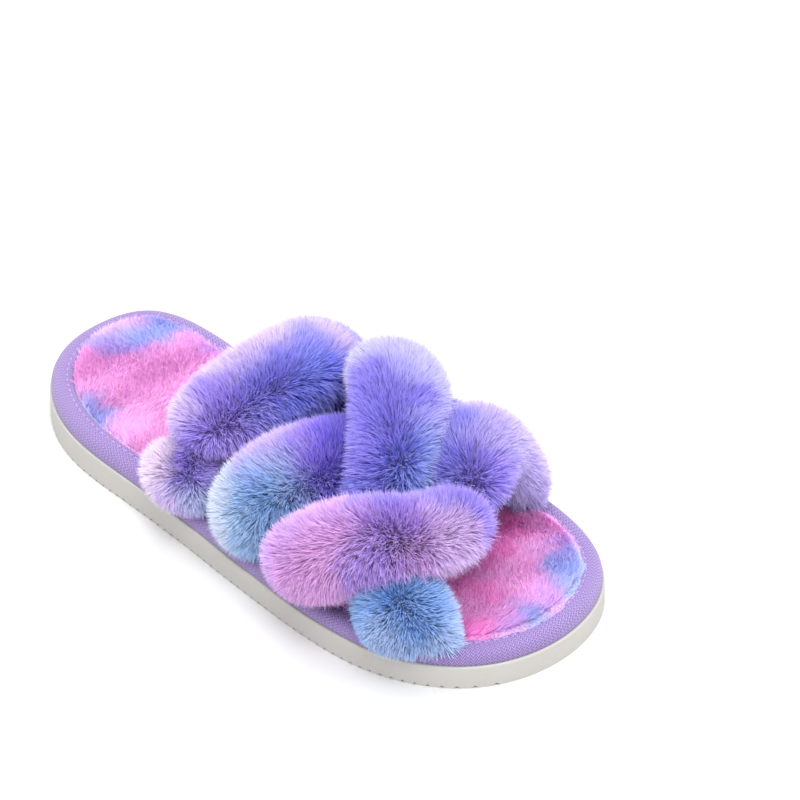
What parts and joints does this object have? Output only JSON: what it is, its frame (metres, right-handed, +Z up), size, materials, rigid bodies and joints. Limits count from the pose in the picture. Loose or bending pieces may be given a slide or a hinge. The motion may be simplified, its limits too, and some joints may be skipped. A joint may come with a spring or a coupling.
{
  "type": "fluffy house slipper",
  "caption": "Open slide-on house slipper: long-pile plush rolls cross the foot over a padded plush insole, bound round the edge, on a ribbed EVA sole.",
  "frame": {"origin": "on the floor under the middle of the sole's length and width", "axes": "+Z up, the toe points to -Y, the outer side of the foot is -X"},
  "size_m": [0.1142, 0.2552, 0.0737],
  "materials": {
    "eva_sole": "matte off-white EVA foam",
    "lining_cloth": "thin woven lining",
    "fibre_board": "pressed cellulose fibre board",
    "foam": "soft foam",
    "short_plush": "short plush, pink with periwinkle patches",
    "knitted_binding": "matte lavender knitted tape",
    "sewing_thread": "matte sewing thread",
    "long_plush": "long plush in lavender, violet, blue and pink",
    "fibre_fill": "polyester fibre fill"
  },
  "bodies": {
    "root": {"outsole": "eva_sole", "bottom_cloth": "lining_cloth", "insole_board": "fibre_board", "foam_pad": "foam", "plush_sock": "short_plush", "edge_binding": "knitted_binding", "binding_thread": "sewing_thread", "end_stitches": "sewing_thread", "crossing_tacks": "sewing_thread", "rear_roll_sleeve": "long_plush", "rear_roll_fill": "fibre_fill", "middle_roll_sleeve": "long_plush", "middle_roll_fill": "fibre_fill", "front_roll_sleeve": "long_plush", "front_roll_fill": "fibre_fill", "cross_roll_sleeve": "long_plush", "cross_roll_fill": "fibre_fill"}
  },
  "joints": []
}
